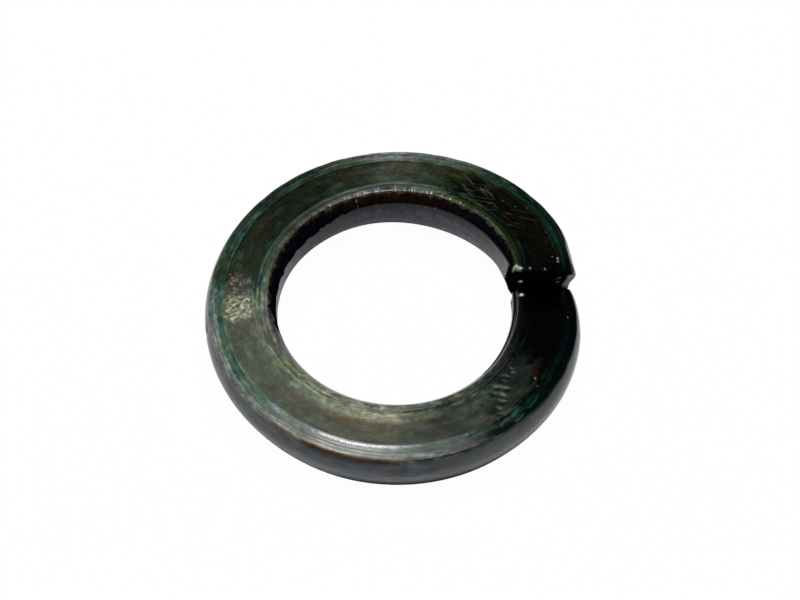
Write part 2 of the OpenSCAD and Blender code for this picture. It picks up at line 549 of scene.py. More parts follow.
def above_band(z, angle):
    """Height in mm above the black band of painted shade along the front's lower edge, negative
    inside it: the band's top is an arch of the turn with a flat crown."""
    crown = np.minimum(1.6 * arch(angle, BAND_ANGLE, BAND_HALF_TURN), 1)
    return z - BAND_FOOT_Z - BAND_H * crown


def band_shade(r, z, angle):
    """Painted shade over the black band, from 0 to 1: an S of the height above it."""
    fading = 1 - step_up(above_band(z, angle), -0.2, 1.5)
    here = step_up(arch(angle, BAND_ANGLE, BAND_HALF_TURN), 0, 0.3)
    return fading * here * step_up(r, 18.2, 18.8)


def torn_and_shaded_places(r, z, angle, run):
    """Where the steel is matt black, at a place of the skin that is run mm from the raised
    end: the bore's side by the raised end, a line along it by the lower end and the raised end's
    rim, and three places of painted shade: the black band, a jagged painted shadow under the
    bore's left edge, and the bore's lower edge at the back."""
    turns = np.radians(angle)
    jagged = np.sin(37 * turns) + 0.6 * np.sin(83 * turns + 1) + 0.4 * np.sin(191 * turns)
    shadow_streak = np.minimum(1.9 * arch(angle, 160, 80) - 0.5, 0.9)
    torn_or_shaded = (run < 2.0 + 0.3 * np.sin(9 * z)) & (r < 13.5) & (z < 2.3)
    torn_or_shaded |= (r < 13.3) & (np.abs(z - 1.98) < 0.24) & (RING_LENGTH - run < 15)
    # Painted shade: the black band along the front's lower edge
    torn_or_shaded |= (above_band(z, angle) < 0) & (r > 18.8)
    # A jagged painted shadow under the bore's left edge
    torn_or_shaded |= (r < 13.25) & (np.abs(z - 1.5 - 0.15 * jagged) < shadow_streak)
    # Painted shade along the bore's lower edge at the back
    torn_or_shaded |= (r < 13.4) & (z < -2.28) & (arch(angle, 66, 50) > 0.3)
    torn_or_shaded |= run < 0.16
    return torn_or_shaded


# ---------------------------------------------------------------- the washer

def turn_shares():
    """Shares of the turn at the rows of the coil, gathered towards both sheared faces: even
    steps, less a sine that holds the rows back near the ends."""
    u = np.linspace(0, 1, TURN_STEPS + 1)
    return u - END_GATHERING * np.sin(2 * math.pi * u) / (2 * math.pi)


def rim_inset(t):
    """How far the outline shrinks at a row near a sheared face, in mm: a quarter circle."""
    near = np.minimum(t, 1 - t) * RING_LENGTH
    left = np.clip(1 - near / RIM_R, 0, 1)
    return RIM_R * (1 - np.sqrt(1 - left ** 2))


def angle_about_axis(points, t):
    """Angle of each point about the axis: from 0 at +X at the raised end, where t is 0, and
    past 360 where the lower end reaches under it."""
    angle = np.degrees(np.arctan2(points[..., 1], points[..., 0])) % 360
    return angle + 360 * ((t > 0.5) & (angle < 90))


def grid_faces(ids):
    """Quads between the rows of a grid of vertex numbers whose rows close on themselves. They
    face up where each row runs anticlockwise outside the one before it, and corners in reverse
    order face the other way."""
    after = np.roll(ids, -1, 1)
    return np.stack([ids[:-1], ids[1:], after[1:], after[:-1]], -1).reshape(-1, 4)


def grid(r, z, t, marks, round_share):
    """The points of one grid and the marks at each of them, from its section points, its share
    of the turn, its marks and the share round the section."""
    columns = [np.broadcast_to(column, r.shape) for column in (t, round_share, *marks)]
    return coil_point(r, z, t), np.stack(columns, -1)


def washer_surface():
    """The worn washer as grids: the skin, with a row of the outline at each share of the turn,
    and for each sheared face the rings of its outline shrunk towards the section's middle."""
    outline, round_share, spans = section_outline()
    middle = outline.mean(0)
    half = np.abs(outline - middle).max(0)
    t = turn_shares()[:, None]
    run = t * RING_LENGTH
    inset = 1 - rim_inset(t)[..., None] / half
    row = middle + (outline - middle) * inset
    r, z = row[..., 0], row[..., 1]
    angle = angle_about_axis(coil_point(r, z, t), t)
    worn_r = r + side_wear(r, z, angle, t)
    worn_z = z - face_wear(r, z, angle, t)

    # Rubbed by the cut: two lines on the lower end's bore side. The raised end's outer facet is
    # painted light, a painted reflection of the bright floor
    lips = bell(z - 1.45, 0.22) + bell(z - 2.45, 0.20)
    facet_reflection = step_up(r, 19.30, 19.55) * step_up(z, -2.4, -1.2)
    bare_and_glints = bare_steel_and_glints(r, z, angle)
    bare_and_glints = bare_and_glints + 0.42 * lips * (r < 13.35) * (1 - step_up(RING_LENGTH - run, 7, 15))
    bare_and_glints = bare_and_glints + 0.7 * facet_reflection * (1 - step_up(run, 0.6, 3.0))
    others = [*corrosion(r, z, angle), band_shade(r, z, angle)]
    torn_or_shaded = torn_and_shaded_places(r, z, angle, run)
    grids = [grid(worn_r, worn_z, t, [bare_and_glints, *others, torn_or_shaded], round_share)]

    shrink = FACE_RINGS[:, None]
    for end in (0, -1):
        ring_r = middle[0] + (worn_r[end] - middle[0]) * shrink
        ring_z = middle[1] + (worn_z[end] - middle[1]) * shrink
        # Painted glints on the raised end's sheared face, and the painted reflection of its outer
        # facet
        painted_glints_and_reflection = np.zeros(ring_r.shape)
        if end == 0:
            painted_glints_and_reflection += 0.5 * facet_reflection[end] * step_up(shrink, 0.76, 0.86)
            for glint_r, glint_z, brightness in PAINTED_GLINTS:
                painted_glints_and_reflection += brightness * bell(ring_r - glint_r, 0.15) * bell(ring_z - glint_z, 0.2)
        faded = [mark[end] * shrink ** 8 for mark in others]
        grids.append(grid(ring_r, ring_z, t[end], [painted_glints_and_reflection, *faded, 1.0], round_share))
    return grids, spans


def washer_mesh():
    """The washer's vertices in mm, its faces, and at each vertex the columns of its marks.
    Each sheared face's first ring meets the skin's end row, and its last is a point."""
    grids, spans = washer_surface()
    sizes = [points[..., 0].size for points, _ in grids]
    firsts = np.cumsum([0, *sizes])
    skin, *ends = [
        first + np.arange(size).reshape(points.shape[:2])
        for first, size, (points, _) in zip(firsts, sizes, grids)
    ]
    raised = np.concatenate([skin[:1], ends[0]])
    lower = np.concatenate([skin[-1:], ends[1]])
    faces = [grid_faces(skin)[:, ::-1], grid_faces(raised), grid_faces(lower)[:, ::-1]]
    points = np.concatenate([points.reshape(-1, 3) for points, _ in grids])
    marks = np.concatenate([marks.reshape(-1, marks.shape[-1]) for _, marks in grids])
    return points, faces, marks, spans


def new_object(name, points, face_sets, *materials):
    """A smooth-shaded object at the origin from points in mm and arrays of faces."""
    mesh = bpy.data.meshes.new(name)
    faces = [face for part in face_sets for face in part.tolist()]
    mesh.from_pydata((points * MM).tolist(), [], faces)
    mesh.polygons.foreach_set("use_smooth", np.ones(len(faces), bool))
    for material in materials:
        mesh.materials.append(material)
    mesh.update()
    obj = bpy.data.objects.new(name, mesh)
    bpy.context.scene.collection.objects.link(obj)
    return obj


def add_marks(obj, faces, marks):
    """Writes the washer's marks as named attributes: mm along the ring, the share of the way
    round the section, bare steel with painted glints, rust, pale crust and the painted shade over
    the black band. The last mark is 1 where the steel is matt black, torn or painted shade: the
    faces that it surrounds take the second material."""
    torn_or_shaded = marks[np.concatenate(faces), -1].min(1) > 0.5
    obj.data.polygons.foreach_set("material_index", torn_or_shaded.astype(np.int32))
    names = ("along_ring", "round_section", "bare_and_glints", "rust", "crust", "band_shade")
    scales = (RING_LENGTH, 1, 1, 1, 1, 1)
    for name, scale, values in zip(names, scales, marks.T):
        layer = obj.data.attributes.new(name, "FLOAT", "POINT")
        layer.data.foreach_set("value", (values * scale).astype(np.float32))


def merge_closing_points(obj):
    """Joins vertices that lie on one another, which closes the middles of the sheared faces."""
    shape = bmesh.new()
    shape.from_mesh(obj.data)
    bmesh.ops.remove_doubles(shape, verts=shape.verts, dist=1e-7)
    shape.to_mesh(obj.data)
    shape.free()


# ---------------------------------------------------------------- shader building blocks

def node(tree, kind, inputs=None, **settings):
    """A shader node with its settings, and values or links for its named or numbered inputs."""
    made = tree.nodes.new(kind)
    for name, value in settings.items():
        setattr(made, name, value)
    for key, value in (inputs or {}).items():
        if isinstance(value, bpy.types.NodeSocket):
            tree.links.new(value, made.inputs[key])
        else:
            made.inputs[key].default_value = value
    return made


def maths(tree, operation, a, b=0.0, c=0.0, clamp=False):
    """One Math node's value."""
    made = node(tree, "ShaderNodeMath", {0: a, 1: b, 2: c}, operation=operation, use_clamp=clamp)
    return made.outputs[0]


def product(tree, *values):
    """The product of several values."""
    result, *others = values
    for value in others:
        result = maths(tree, "MULTIPLY", result, value)
    return result


def swing(tree, by, amount):
    """A noise's distance above its own middle of one half, times an amount."""
    return product(tree, maths(tree, "SUBTRACT", by, 0.5), amount)


def blend(tree, factor, a, b, way="MIX"):
    """Colour a, changed towards colour b by a factor."""
    # Inputs 6 and 7 and output 2 of a Mix node are its colours
    mix = {"data_type": "RGBA", "blend_type": way}
    return node(tree, "ShaderNodeMix", {0: factor, 6: a, 7: b}, **mix).outputs[2]


def between(tree, value, low, high, to_low=0.0, to_high=1.0):
    """A value carried from the range low..high to the range to_low..to_high by a smooth S."""
    inputs = {0: value, 1: low, 2: high, 3: to_low, 4: to_high}
    return node(tree, "ShaderNodeMapRange", inputs, interpolation_type="SMOOTHSTEP").outputs[0]


def ramp(tree, value, stops):
    """A linear Color Ramp with stops of (place, colour)."""
    made = node(tree, "ShaderNodeValToRGB", {0: value})
    elements = made.color_ramp.elements
    while len(elements) < len(stops):
        elements.new(0.5)
    for element, (place, colour) in zip(elements, sorted(stops, key=lambda stop: stop[0])):
        element.position = place
        element.color = (*colour, 1)
    return made.outputs[0]


def noise(tree, vector, scale, detail=2.0, roughness=0.5, distortion=0.0):
    """A Noise Texture's value."""
    inputs = {"Vector": vector, "Scale": scale, "Detail": detail, "Roughness": roughness}
    inputs["Distortion"] = distortion
    return node(tree, "ShaderNodeTexNoise", inputs).outputs[0]


def attribute(tree, name):
    """A named attribute's value."""
    return node(tree, "ShaderNodeAttribute", attribute_name=name).outputs["Fac"]


def combine(tree, x, y, z):
    """A vector from three values."""
    return node(tree, "ShaderNodeCombineXYZ", {0: x, 1: y, 2: z}).outputs[0]


# ---------------------------------------------------------------- the washer's finish

WHITE = (1, 1, 1, 1)


def section_stops(spans, colours):
    """Ramp stops round the section, from colours at shares of the way along each named span."""
    stops = []
    for name, row in colours.items():
        first, last = spans[name]
        stops += [(first + share * (last - first), colour) for share, colour in row.items()]
    return stops


def tint_stops(tints):
    """Ramp stops along the turn, each from an angle and a colour. The turn starts at 6 degrees,
    at the raised end, and covers 353."""
    first, whole = 6.0, 353.0
    return [((angle - first) / whole, tint) for angle, tint in tints.items()]


def greys(values):
    """A row of plain values as shades of grey."""
    return {place: (value,) * 3 for place, value in values.items()}


# In each finish below, the near-black stops at the foot of the outer side and at the foot of the
# bore's side are painted shade, where those edges face the shadowed floor under the washer
# Scuffed dry oxide: grey-olive face, green outer shoulder under a speckled tan ridge, grey sides
SCUFFED = {
    "lower_inner_shoulder": {0.5: (0.070, 0.072, 0.056)},
    "inner_side": {
        0.035: (0.004, 0.003, 0.005), 0.07: (0.030, 0.031, 0.038), 0.15: (0.040, 0.042, 0.052),
        0.45: (0.030, 0.032, 0.040), 0.60: (0.004, 0.003, 0.005), 0.95: (0.006, 0.004, 0.005),
    },
    "inner_shoulder": {
        0.04: (0.130, 0.142, 0.115), 0.50: (0.080, 0.108, 0.072), 0.74: (0.038, 0.070, 0.044),
        0.95: (0.120, 0.142, 0.098),
    },
    "upper_face": {
        0.10: (0.077, 0.091, 0.057), 0.40: (0.042, 0.046, 0.028), 0.90: (0.039, 0.046, 0.028),
        0.97: (0.030, 0.052, 0.034),
    },
    "outer_shoulder": {
        0.03: (0.085, 0.120, 0.080), 0.12: (0.034, 0.072, 0.054), 0.22: (0.040, 0.084, 0.064),
        0.42: (0.052, 0.090, 0.074), 0.52: (0.044, 0.072, 0.061), 0.64: (0.135, 0.160, 0.144),
        0.88: (0.100, 0.112, 0.108),
    },
    "outer_side": {
        0.03: (0.105, 0.112, 0.107), 0.09: (0.072, 0.070, 0.074), 0.30: (0.070, 0.079, 0.094),
        0.55: (0.080, 0.091, 0.108), 0.80: (0.030, 0.030, 0.034), 0.98: (0.010, 0.010, 0.012),
    },
    "lower_face": {0.50: (0.070, 0.072, 0.056)},
}

# Rubbed bright: cream inner band, olive face, rusty line under the ridge, and a painted highlight
# on the outer shoulder: a silvery streak of light and dark lines in place of the lamp's reflection
RUBBED_AND_HIGHLIGHT = {
    "lower_inner_shoulder": {0.5: (0.070, 0.072, 0.056)},
    "inner_side": {
        0.035: (0.004, 0.003, 0.005), 0.07: (0.030, 0.031, 0.038), 0.60: (0.014, 0.012, 0.012),
        0.95: (0.110, 0.100, 0.080),
    },
    "inner_shoulder": {
        0.05: (0.190, 0.172, 0.140), 0.60: (0.155, 0.160, 0.118), 0.80: (0.120, 0.132, 0.090),
        0.96: (0.190, 0.195, 0.142),
    },
    "upper_face": {
        0.20: (0.185, 0.182, 0.128), 0.34: (0.072, 0.064, 0.036), 0.55: (0.046, 0.040, 0.018),
        0.88: (0.044, 0.044, 0.026), 0.97: (0.018, 0.024, 0.018),
    },
    # Painted highlight: the lamp's streak on the outer shoulder, as light and dark lines
    "outer_shoulder": {
        0.05: (0.28, 0.29, 0.35), 0.16: (0.25, 0.275, 0.27), 0.28: (0.060, 0.068, 0.062),
        0.38: (0.140, 0.145, 0.125), 0.47: (0.040, 0.042, 0.038), 0.58: (0.140, 0.138, 0.115),
        0.70: (0.050, 0.052, 0.044), 0.82: (0.240, 0.225, 0.165), 0.93: (0.110, 0.085, 0.050),
    },
    "outer_side": {
        0.015: (0.072, 0.034, 0.017), 0.055: (0.022, 0.014, 0.013), 0.12: (0.046, 0.051, 0.058),
        0.45: (0.080, 0.098, 0.114), 0.62: (0.076, 0.078, 0.090), 0.76: (0.034, 0.034, 0.044),
        0.86: (0.008, 0.007, 0.012), 0.98: (0.008, 0.008, 0.010),
    },
    "lower_face": {0.50: (0.070, 0.072, 0.056)},
}

# Grimy oxide: dark olive face between teal shoulders, with pale lines on the inner shoulder
GRIMY = {
    "lower_inner_shoulder": {0.5: (0.020, 0.024, 0.016)},
    "inner_side": {
        0.035: (0.002, 0.002, 0.004), 0.07: (0.036, 0.034, 0.044), 0.15: (0.042, 0.038, 0.078),
        0.48: (0.036, 0.033, 0.052), 0.57: (0.012, 0.014, 0.030), 0.61: (0.0004, 0.0004, 0.0020),
        0.74: (0.0020, 0.0004, 0.0008), 0.95: (0.010, 0.004, 0.003),
    },
    "inner_shoulder": {
        0.03: (0.056, 0.050, 0.034), 0.14: (0.050, 0.052, 0.030), 0.35: (0.034, 0.054, 0.032),
        0.66: (0.028, 0.050, 0.032), 0.75: (0.001, 0.008, 0.005), 0.86: (0.003, 0.014, 0.010),
        0.95: (0.034, 0.068, 0.046),
    },
    "upper_face": {
        0.04: (0.005, 0.012, 0.006), 0.85: (0.0085, 0.0098, 0.0036), 0.97: (0.002, 0.006, 0.003),
    },
    "outer_shoulder": {
        0.04: (0.024, 0.040, 0.027), 0.16: (0.014, 0.029, 0.020), 0.50: (0.028, 0.038, 0.029),
        0.66: (0.012, 0.024, 0.018), 0.88: (0.040, 0.054, 0.044),
    },
    "outer_side": {
        0.02: (0.060, 0.058, 0.050), 0.09: (0.014, 0.026, 0.030), 0.50: (0.020, 0.024, 0.028),
        0.98: (0.008, 0.008, 0.010),
    },
    "lower_face": {0.50: (0.020, 0.024, 0.016)},
}

# Oily oxide: black where the oil stands, dark teal where it drains off the shoulders
OILY = {
    "lower_inner_shoulder": {0.5: (0.004, 0.005, 0.004)},
    "inner_side": {
        0.035: (0.003, 0.003, 0.005), 0.07: (0.070, 0.068, 0.090), 0.15: (0.088, 0.082, 0.122),
        0.48: (0.058, 0.054, 0.084), 0.58: (0.001, 0.001, 0.004), 0.95: (0.003, 0.002, 0.003),
    },
    "inner_shoulder": {
        0.04: (0.050, 0.060, 0.032), 0.20: (0.016, 0.027, 0.009), 0.60: (0.006, 0.012, 0.005),
        0.74: (0.001, 0.002, 0.001), 0.94: (0.004, 0.014, 0.009),
    },
    "upper_face": {0.05: (0.0016, 0.0018, 0.0012), 0.95: (0.0030, 0.0020, 0.0010)},
    "outer_shoulder": {
        0.02: (0.009, 0.012, 0.007), 0.12: (0.001, 0.004, 0.002), 0.26: (0.006, 0.024, 0.012),
        0.46: (0.004, 0.018, 0.012), 0.62: (0.001, 0.003, 0.004), 0.78: (0.004, 0.012, 0.010),
        0.92: (0.003, 0.004, 0.006), 0.98: (0.060, 0.070, 0.070),
    },
    "outer_side": {
        0.02: (0.034, 0.040, 0.041), 0.08: (0.050, 0.054, 0.056), 0.34: (0.080, 0.085, 0.084),
        0.60: (0.052, 0.055, 0.056), 0.80: (0.018, 0.018, 0.022), 0.90: (0.006, 0.006, 0.008),
    },
    "lower_face": {0.50: (0.004, 0.005, 0.004)},
}

# How much of the oil has gone at each angle, on the face and on the outer shoulder
OIL_GONE_FACE = {
    6: 0.0, 30: 0.10, 52: 0.25, 76: 0.9, 92: 1.0, 312: 1.0, 326: 0.5, 340: 0.0, 359: 0.0,
}
OIL_GONE_SHOULDER = {
    6: 0.0, 24: 0.15, 50: 0.45, 66: 0.9, 92: 1.0, 260: 1.0, 270: 0.7, 284: 0.40, 300: 0.28,
    316: 0.12, 328: 0.0, 359: 0.0,
}

# How light the oily and grimy steel is painted at each angle, against the most it ever is: the
# oil pools black by the cut, a stain, and the far side is lightest at its middle, a painted sheen
# that stands in for the light the rolled lines catch there
COVERED_LIGHTNESS_AND_SHEEN = {
    6: 0.06, 18: 0.26, 52: 0.28, 62: 0.42, 75: 0.68, 90: 1.0, 104: 0.48, 118: 0.20, 135: 0.14,
    150: 0.25, 166: 0.33, 185: 0.36, 210: 0.28, 296: 0.28, 322: 0.10, 345: 0.04, 359: 0.03,
}
COVERED_MOST = 3.5

# How much of the grime has gone at each angle, and where the steel is rubbed bright and its
# outer shoulder carries the painted highlight
GRIME_GONE = {
    6: 0.0, 140: 0.0, 156: 0.1, 168: 0.25, 182: 0.70, 194: 1.0, 262: 1.0, 274: 0.62, 284: 0.46,
    312: 0.36, 326: 0.1, 359: 0.0,
}
RUBBED_AND_HIGHLIGHT_HERE = {6: 0.0, 212: 0.0, 228: 0.4, 240: 0.55, 249: 1.0, 262: 1.0, 271: 0.36, 281: 0.0}

# How strongly fine scratches show at each angle
SCRATCHED = {6: 0.0, 24: 0.1, 38: 0.36, 58: 0.42, 68: 0.0, 359: 0.0}

# How strongly brown, olive, teal and blue-grey mottling shows at each angle
MOTTLING = {6: 0.5, 60: 0.6, 75: 0.3, 100: 0.3, 115: 0.9, 168: 1.0, 190: 0.2, 285: 0.25, 305: 0.5}

# Tints along the turn: on the inner shoulder, and on the face and the outer shoulder. They
# paint light and shade as well as hue: the face and outer shoulder are painted lighter and
# lavender at the back, where a sheen falls, and darker at the front right; the inner shoulder is
# painted darker at the back and at the front right
INNER_TINT_AND_SHADING = {
    6: (1, 1, 1), 58: (1, 1, 1), 75: (0.64, 0.52, 0.62), 90: (0.52, 0.39, 0.50),
    105: (0.60, 0.49, 0.59), 120: (0.72, 0.84, 0.78), 135: (0.54, 0.66, 0.58),
    150: (0.94, 1.04, 0.98), 170: (1.1, 1.1, 1.15), 195: (0.90, 0.85, 0.90), 212: (1.2, 1.1, 1.15),
    228: (1.25, 1.25, 1.2), 242: (1.05, 1, 1), 255: (1.2, 1.15, 1.2), 270: (0.92, 0.89, 0.92),
    285: (0.80, 0.73, 0.78), 300: (0.58, 0.50, 0.59), 315: (0.70, 0.55, 0.70),
    330: (0.9, 0.82, 1.05), 345: (0.6, 0.5, 0.9),
}
OUTER_TINT_AND_SHADING = {
    6: (1, 1, 1), 60: (1, 1, 1), 75: (1.1, 1.05, 1), 90: (1.6, 1.2, 1.45), 105: (1.35, 1.2, 1.2),
    120: (1.05, 1.05, 1.05), 135: (1.1, 1.15, 1.1), 150: (1.15, 1.1, 1.2), 166: (0.9, 0.95, 1),
    180: (0.80, 0.85, 0.90), 195: (1.1, 1.1, 1.1), 212: (0.92, 1.0, 0.96), 228: (1.0, 1.0, 1.0),
    240: (0.90, 0.90, 0.88), 258: (1.1, 1.1, 1.1), 270: (0.86, 0.86, 0.86),
    285: (0.44, 0.50, 0.46), 300: (0.50, 0.68, 0.62), 315: (0.42, 0.72, 0.72),
    330: (0.60, 0.60, 0.85), 345: (0.60, 0.55, 1.1), 357: (0.50, 0.40, 1.3),
}

# How vivid the colours are at each angle
VIVIDNESS = {6: 1.0, 66: 1.0, 80: 0.62, 100: 0.62, 115: 0.88, 150: 0.95, 190: 1.0, 359: 1.0}

# Roughness round the section where the steel is dry, and where oil or the black band's painted
# shade covers it
DRY_ROUGHNESS = {
    "lower_inner_shoulder": {0.5: 0.36},
    "inner_side": {0.035: 0.90, 0.065: 0.22, 0.95: 0.17},
    "inner_shoulder": {0.10: 0.30},
    "upper_face": {0.10: 0.44, 0.95: 0.44},
    "outer_shoulder": {
        0.04: 0.20, 0.13: 0.11, 0.22: 0.13, 0.30: 0.32, 0.38: 0.16, 0.47: 0.42, 0.56: 0.18,
        0.68: 0.36, 0.80: 0.20, 0.95: 0.24,
    },
    "outer_side": {0.05: 0.22, 0.45: 0.24, 0.74: 0.34, 0.88: 0.90, 0.98: 1.00},
    "lower_face": {0.50: 0.50},
}
OILY_ROUGHNESS = 0.11
BAND_SHADE_ROUGHNESS = 0.9

# How strongly the rolled lines show round the section, in colour and in height
LINE_STRENGTH = {
    "inner_side": {0.50: 0.12, 0.95: 0.30},
    "inner_shoulder": {0.10: 0.85, 0.95: 0.75},
    "upper_face": {0.20: 0.45, 0.50: 0.22, 0.90: 0.30},
    "outer_shoulder": {0.10: 0.70, 0.90: 0.90},
    "outer_side": {0.10: 0.15, 0.90: 0.10},
    "lower_face": {0.50: 0.40},
}


def place_in_mm(tree):
    """The Object coordinates in mm."""
    place = node(tree, "ShaderNodeTexCoord").outputs["Object"]
    scaled = {0: place, "Scale": 1 / MM}
    return node(tree, "ShaderNodeVectorMath", scaled, operation="SCALE").outputs[0]


def drawn_out(tree, along, across, stretch, scale, detail, layer):
    """A noise drawn out along the ring by a stretch, in mm; each layer has its own pattern."""
    run = product(tree, along, 1 / stretch)
    return noise(tree, combine(tree, run, across, layer), scale, detail, 0.58)


def shifted(tree, value, by, amount):
    """A value moved up or down by a noise about its own middle of one half."""
    return maths(tree, "ADD", value, swing(tree, by, amount))


def patchy(tree, share, by, strength=1.6):
    """A share from 0 to 1 broken into patches whose edges a noise draws. The noise counts
    most at one half, so that 0 stays 0 and 1 stays 1."""
    room = product(tree, share, maths(tree, "SUBTRACT", 1.0, share), 4 * strength)
    return between(tree, shifted(tree, share, by, room), 0.25, 0.75)


def tinted(tree, colour, low_tint, high_tint, by):
    """A colour multiplied by one tint where a noise is low and by another where it is high."""
    tint = ramp(tree, by, [(0.34, low_tint), (0.5, (1, 1, 1)), (0.66, high_tint)])
    return blend(tree, 1.0, colour, tint, "MULTIPLY")


def scratches(tree, place, direction):
    """Fine scratches in one direction in degrees: short runs of the contour lines of a noise
    drawn out eight times as far that way as across it."""
    turned = {"Vector": place, "Rotation": (0, 0, math.radians(direction)), "Scale": (8, 1, 1)}
    drawn = node(tree, "ShaderNodeMapping", turned, vector_type="TEXTURE").outputs[0]
    contour = maths(tree, "ABSOLUTE", maths(tree, "SUBTRACT", noise(tree, drawn, 0.8, 1.0), 0.5))
    shown = between(tree, noise(tree, drawn, 2.6, 1.0), 0.5, 0.58)
    return product(tree, between(tree, contour, 0.003, 0.015, 1.0, 0.0), shown)


def steel_grain():
    """A node group for the grain that both finishes have: the value of a noise on the Object
    coordinates in mm, with the noise's scale and detail as inputs."""
    group = bpy.data.node_groups.new("steel_grain", "ShaderNodeTree")
    for name in ("Scale", "Detail"):
        group.interface.new_socket(name, in_out="INPUT", socket_type="NodeSocketFloat")
    group.interface.new_socket("Grain", in_out="OUTPUT", socket_type="NodeSocketFloat")
    given = node(group, "NodeGroupInput").outputs
    grain = noise(group, place_in_mm(group), given["Scale"], given["Detail"], 0.6)
    node(group, "NodeGroupOutput", {"Grain": grain})
    return group


def grained(tree, grain, scale, detail):
    """The value of the grain's node group in a material, at its own scale and detail."""
    inputs = {"Scale": scale, "Detail": detail}
    return node(tree, "ShaderNodeGroup", inputs, node_tree=grain).outputs["Grain"]


def principled_material(name, specular):
    """A new material with its node tree and its shader, whose specular level is given."""
    material = bpy.data.materials.new(name)
    material.use_nodes = True
    shader = material.node_tree.nodes["Principled BSDF"]
    shader.inputs["Specular IOR Level"].default_value = specular
    return material, material.node_tree, shader


def set_shader(tree, shader, colour, roughness, height):
    """Feeds a shader its colour, its roughness, and a height as relief of 0.05 mm at half
    strength."""
    relief = {"Strength": 0.5, "Distance": 0.05 * MM, "Height": height}
    tree.links.new(colour, shader.inputs["Base Color"])
    tree.links.new(roughness, shader.inputs["Roughness"])
    bump = node(tree, "ShaderNodeBump", relief)
    tree.links.new(bump.outputs[0], shader.inputs["Normal"])


def skin_patterns(tree, spans, grain):
    """What the layers of the blackened steel share: coordinates in mm and in shares, where the
    spans of the section meet, masks of its outer shoulder and side, and the noises. Rolled
    lines, smears, hues and strokes are drawn out along the ring; blotches and grain are not."""
    place = place_in_mm(tree)
    along = attribute(tree, "along_ring")
    section = attribute(tree, "round_section")
    across = product(tree, section, 2 * (OUTER_R - BORE_R + THICKNESS))
    face_start, face_end = spans["upper_face"]
    shoulder_end = spans["outer_shoulder"][1]
    turn = maths(tree, "DIVIDE", along, RING_LENGTH)
    return SimpleNamespace(
        spans=spans,
        inner_end=spans["inner_side"][1],
        face_start=face_start,
        face_end=face_end,
        place=place,
        along=along,
        across=across,
        section=section,
        turn=shifted(tree, turn, noise(tree, place, 0.35, 3.0, 0.5), 0.05),
        on_shoulder=between(tree, section, 2 * face_end - shoulder_end, shoulder_end),
        on_side=between(tree, section, shoulder_end, shoulder_end + 0.02),
        lines=drawn_out(tree, along, across, 18.0, 3.6, 3.0, 0.0),
        smears=drawn_out(tree, along, across, 2.2, 1.5, 5.0, 7.0),
        hues=drawn_out(tree, along, across, 2.4, 0.8, 4.0, 15.0),
        strokes=drawn_out(tree, along, across, 3.2, 5.0, 2.0, 23.0),
        blotches=noise(tree, place, 1.8, 4.0, 0.62, 0.3),
        grain=grained(tree, grain, 6.0, 2.0),
    )


def by_turn(tree, skin, values):
    """A plain value that follows the angle round the washer."""
    return ramp(tree, skin.turn, tint_stops(greys(values)))


def by_section(tree, skin, values):
    """A plain value that follows the place round the section."""
    table = {name: greys(row) for name, row in values.items()}
    return ramp(tree, skin.section, section_stops(skin.spans, table))


def oil_and_grime_gone(tree, skin):
    """How much of the oil and of the grime has gone, as shares broken into patches."""
    oil_gone = blend(
        tree, skin.on_shoulder,
        by_turn(tree, skin, OIL_GONE_FACE),
        by_turn(tree, skin, OIL_GONE_SHOULDER),
    )
    grime_gone = patchy(tree, by_turn(tree, skin, GRIME_GONE), skin.smears, 0.8)
    return patchy(tree, oil_gone, skin.smears), grime_gone


def layered_finish(tree, skin, oil_gone, grime_gone):
    """The colour of four finishes, oily, grimy, scuffed and rubbed. Each is a ramp round the
    section, whose bands wander with the noises and break into teeth on the bore. The oily and
    grimy ones are painted lighter or darker along the turn: the oil's black pool by the cut, and a
    painted sheen at the back."""
    wandering = shifted(tree, skin.section, skin.strokes, 0.003)
    wandering = shifted(tree, wandering, skin.smears, 0.002)
    wandering = shifted(tree, wandering, skin.blotches, 0.006)
    slow_across = product(tree, skin.across, 0.2)
    teeth = drawn_out(tree, skin.along, slow_across, 1.0, 1.6, 4.0, 41.0)
    on_bore = between(tree, skin.section, skin.inner_end - 0.01, skin.inner_end, 0.08, 0.0)
    wandering = shifted(tree, wandering, teeth, on_bore)
    oily, grimy, scuffed, rubbed_and_highlight = (
        ramp(tree, wandering, section_stops(skin.spans, colours))
        for colours in (OILY, GRIMY, SCUFFED, RUBBED_AND_HIGHLIGHT)
    )
    # Painted sheen at the back and the oil's black pool by the cut, as lightness along the turn
    light = product(tree, by_turn(tree, skin, COVERED_LIGHTNESS_AND_SHEEN), COVERED_MOST)
    most = between(tree, skin.section, skin.inner_end, skin.face_start + 0.01, 1.2, COVERED_MOST)
    light = blend(tree, skin.on_side, maths(tree, "MINIMUM", light, most), WHITE)
    covered = blend(tree, 1.0, blend(tree, oil_gone, oily, grimy), light, "MULTIPLY")
    # Where the rubbed finish, with its painted highlight, shows
    rubbed_and_highlight_here = patchy(tree, by_turn(tree, skin, RUBBED_AND_HIGHLIGHT_HERE), skin.hues)
    dry = blend(tree, rubbed_and_highlight_here, scuffed, rubbed_and_highlight)
    return blend(tree, product(tree, grime_gone, oil_gone), covered, dry)


